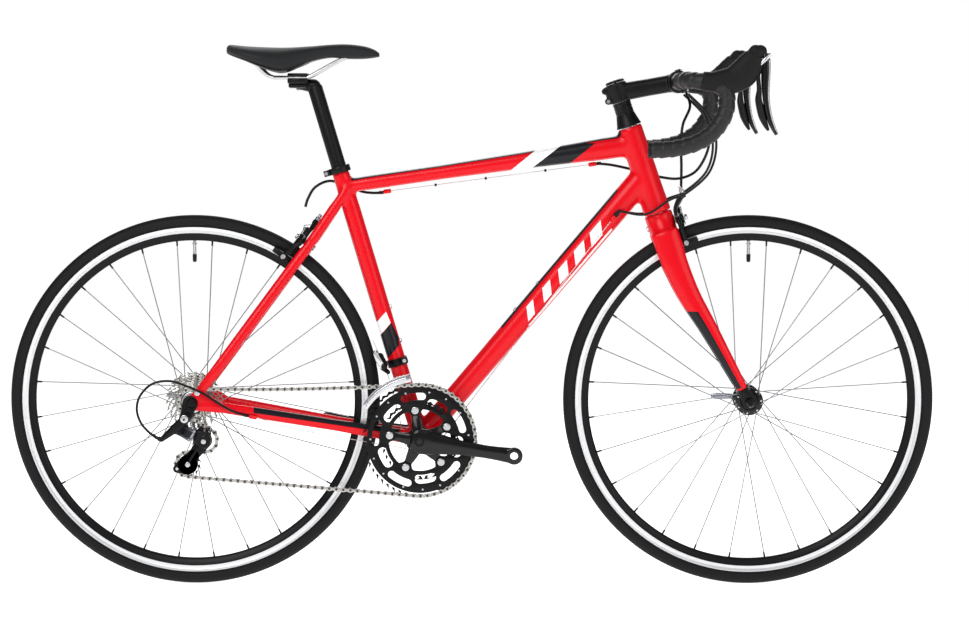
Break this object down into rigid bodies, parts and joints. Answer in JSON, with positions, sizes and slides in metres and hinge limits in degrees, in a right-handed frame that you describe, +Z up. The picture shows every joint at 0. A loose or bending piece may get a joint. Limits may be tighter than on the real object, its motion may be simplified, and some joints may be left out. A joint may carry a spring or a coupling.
{
  "type": "road bicycle",
  "caption": "Road bicycle with a welded frame, drop handlebar, spoked wheels, caliper brakes, two chainrings and a cassette, without pedals.",
  "frame": {"origin": "on the ground, midway between the wheel axles, in the bicycle's middle plane", "axes": "+X forward, +Y to the rider's left, +Z up"},
  "size_m": [1.6765, 0.452, 0.9802],
  "materials": {
    "red_paint": "gloss",
    "black_alloy": "satin",
    "polished_alloy": "polished",
    "silver_steel": "satin",
    "nickel_chain": "satin",
    "gunmetal": "satin",
    "tyre_rubber": "matte",
    "hood_rubber": "matte",
    "bar_tape": "matte",
    "cable_housing": "satin",
    "saddle_cover": "matte",
    "black_plastic": "matte"
  },
  "bodies": {
    "frame": {"head_tube": "red_paint", "top_tube": "red_paint", "down_tube": "red_paint", "seat_tube": "red_paint", "bottom_bracket_shell": "red_paint", "chain_stays": "red_paint", "seat_stays": "red_paint", "dropouts": "red_paint", "seat_clamp": "black_alloy", "frame_fittings": "black_alloy", "headset_bearings": "silver_steel", "bottom_bracket_cups": "black_alloy", "chain": "nickel_chain", "cables": "cable_housing", "rear_axle": "silver_steel", "front_derailleur_clamp": "black_alloy", "rear_derailleur_bracket": "black_alloy"},
    "steering": {"fork": "red_paint", "front_axle": "silver_steel", "headset_cover": "black_alloy", "stem": "black_alloy", "stem_faceplate": "black_alloy", "handlebar": "black_alloy", "bar_tape": "bar_tape", "lever_hoods": "hood_rubber", "front_brake_bolt": "silver_steel"},
    "rear_skewer_lever": {"rear_skewer_lever": "gunmetal"},
    "front_skewer_lever": {"front_skewer_lever": "gunmetal"},
    "front_derailleur_cage": {"front_derailleur_cage": "polished_alloy"},
    "rear_derailleur_links": {"rear_derailleur_links": "gunmetal"},
    "rear_derailleur_knuckle": {"rear_derailleur_knuckle": "black_alloy"},
    "rear_derailleur_cage": {"rear_derailleur_cage": "black_alloy"},
    "guide_pulley": {"guide_pulley": "black_plastic"},
    "tension_pulley": {"tension_pulley": "black_plastic"},
    "crank": {"crank_right": "black_alloy", "crank_left": "black_alloy", "outer_chainring": "black_alloy", "inner_chainring": "black_alloy", "chainring_bolts": "silver_steel"},
    "cassette": {"cassette": "silver_steel"},
    "rear_wheel": {"rear_rim": "black_alloy", "rear_tyre": "tyre_rubber", "rear_spokes": "silver_steel", "rear_hub": "black_alloy"},
    "front_wheel": {"front_rim": "black_alloy", "front_tyre": "tyre_rubber", "front_spokes": "silver_steel", "front_hub": "black_alloy"},
    "left_brake_lever": {"left_brake_lever": "gunmetal"},
    "right_brake_lever": {"right_brake_lever": "gunmetal"},
    "left_shift_lever": {"left_shift_lever": "black_plastic"},
    "right_shift_lever": {"right_shift_lever": "black_plastic"},
    "front_brake_arm_left": {"front_brake_arm_left": "black_alloy"},
    "front_brake_arm_right": {"front_brake_arm_right": "black_alloy"},
    "rear_brake_arm_left": {"rear_brake_arm_left": "black_alloy"},
    "rear_brake_arm_right": {"rear_brake_arm_right": "black_alloy"},
    "seat": {"seat_post": "black_alloy", "saddle_clamp": "black_alloy", "saddle_rails": "silver_steel", "saddle": "saddle_cover"}
  },
  "joints": [
    {"name": "steering", "type": "hinge", "parent": "frame", "child": "steering", "pos_m": [0.31353, 0, 0.74754], "axis": [-0.314, 0, 0.9494], "range_deg": [-60, 60], "deforming": ["cables"]},
    {"name": "front_wheel_spin", "type": "hinge", "parent": "steering", "child": "front_wheel", "pos_m": [0.5023, 0, 0.336], "axis": [0, 1, 0], "continuous": true},
    {"name": "rear_wheel_spin", "type": "hinge", "parent": "frame", "child": "rear_wheel", "pos_m": [-0.5023, 0, 0.336], "axis": [0, 1, 0], "continuous": true},
    {"name": "crank_spin", "type": "hinge", "parent": "frame", "child": "crank", "pos_m": [-0.09325, 0, 0.266], "axis": [0, 1, 0], "continuous": true},
    {"name": "cassette_spin", "type": "hinge", "parent": "frame", "child": "cassette", "pos_m": [-0.5023, 0, 0.336], "axis": [0, 1, 0], "continuous": true},
    {"name": "rear_derailleur_shift", "type": "slide", "parent": "frame", "child": "rear_derailleur_knuckle", "axis": [0.1199, 0.9495, -0.2899], "range_m": [0, 0.038], "deforming": ["chain"]},
    {"name": "rear_derailleur_link_swing", "type": "hinge", "parent": "frame", "child": "rear_derailleur_links", "pos_m": [-0.5265, -0.0654, 0.2892], "axis": [0.524, 0.1874, 0.8308], "range_deg": [0, 60]},
    {"name": "rear_derailleur_cage_swing", "type": "hinge", "parent": "rear_derailleur_knuckle", "child": "rear_derailleur_cage", "pos_m": [-0.48, 0, 0.268], "axis": [0, 1, 0], "range_deg": [-40, 8], "stiffness_Nm_per_rad": 0.6},
    {"name": "guide_pulley_spin", "type": "hinge", "parent": "rear_derailleur_cage", "child": "guide_pulley", "pos_m": [-0.48, 0, 0.268], "axis": [0, 1, 0], "continuous": true},
    {"name": "tension_pulley_spin", "type": "hinge", "parent": "rear_derailleur_cage", "child": "tension_pulley", "pos_m": [-0.5107, 0, 0.2241], "axis": [0, 1, 0], "continuous": true},
    {"name": "front_derailleur_shift", "type": "slide", "parent": "frame", "child": "front_derailleur_cage", "axis": [0, 1, 0], "range_m": [0, 0.007]},
    {"name": "seat_height", "type": "slide", "parent": "frame", "child": "seat", "axis": [-0.2857, 0, 0.9583], "range_m": [-0.06, 0.08]},
    {"name": "rear_skewer_lever_throw", "type": "hinge", "parent": "frame", "child": "rear_skewer_lever", "pos_m": [-0.5023, 0.0854, 0.336], "axis": [0, 0, 1], "range_deg": [-150, 0]},
    {"name": "front_skewer_lever_throw", "type": "hinge", "parent": "steering", "child": "front_skewer_lever", "pos_m": [0.5023, 0.0704, 0.336], "axis": [0, 0, 1], "range_deg": [-150, 0]},
    {"name": "right_brake_lever_pull", "type": "hinge", "parent": "steering", "child": "right_brake_lever", "pos_m": [0.508, -0.208, 0.948], "axis": [0, 1, 0], "range_deg": [0, 20], "stiffness_Nm_per_rad": 1.5},
    {"name": "left_brake_lever_pull", "type": "hinge", "parent": "steering", "child": "left_brake_lever", "pos_m": [0.508, 0.208, 0.948], "axis": [0, 1, 0], "range_deg": [0, 20], "stiffness_Nm_per_rad": 1.5},
    {"name": "right_shift_lever_click", "type": "hinge", "parent": "right_brake_lever", "child": "right_shift_lever", "pos_m": [0.505, -0.206, 0.925], "axis": [1, 0, 0], "range_deg": [0, 12], "stiffness_Nm_per_rad": 0.6},
    {"name": "left_shift_lever_click", "type": "hinge", "parent": "left_brake_lever", "child": "left_shift_lever", "pos_m": [0.505, 0.206, 0.925], "axis": [-1, 0, 0], "range_deg": [0, 12], "stiffness_Nm_per_rad": 0.6},
    {"name": "front_brake_arm_left_close", "type": "hinge", "parent": "steering", "child": "front_brake_arm_left", "pos_m": [0.34462, 0, 0.65355], "axis": [-0.9494, 0, -0.314], "range_deg": [0, 2]},
    {"name": "front_brake_arm_right_close", "type": "hinge", "parent": "steering", "child": "front_brake_arm_right", "pos_m": [0.34462, 0, 0.65355], "axis": [0.9494, 0, 0.314], "range_deg": [0, 2]},
    {"name": "rear_brake_arm_left_close", "type": "hinge", "parent": "frame", "child": "rear_brake_arm_left", "pos_m": [-0.294, 0, 0.6174], "axis": [-0.8049, 0, 0.5934], "range_deg": [0, 2]},
    {"name": "rear_brake_arm_right_close", "type": "hinge", "parent": "frame", "child": "rear_brake_arm_right", "pos_m": [-0.294, 0, 0.6174], "axis": [0.8049, 0, -0.5934], "range_deg": [0, 2]}
  ],
  "couplings": [
    {"joint": "cassette_spin", "follows": "crank_spin", "ratio": 4.1667},
    {"joint": "guide_pulley_spin", "follows": "crank_spin", "ratio": -4.5455},
    {"joint": "tension_pulley_spin", "follows": "crank_spin", "ratio": 4.5455},
    {"joint": "rear_derailleur_link_swing", "follows": "rear_derailleur_shift", "rad_per_m": 27.555},
    {"joint": "front_brake_arm_left_close", "follows": "left_brake_lever_pull", "ratio": 0.1},
    {"joint": "front_brake_arm_right_close", "follows": "left_brake_lever_pull", "ratio": 0.1},
    {"joint": "rear_brake_arm_left_close", "follows": "right_brake_lever_pull", "ratio": 0.1},
    {"joint": "rear_brake_arm_right_close", "follows": "right_brake_lever_pull", "ratio": 0.1}
  ]
}
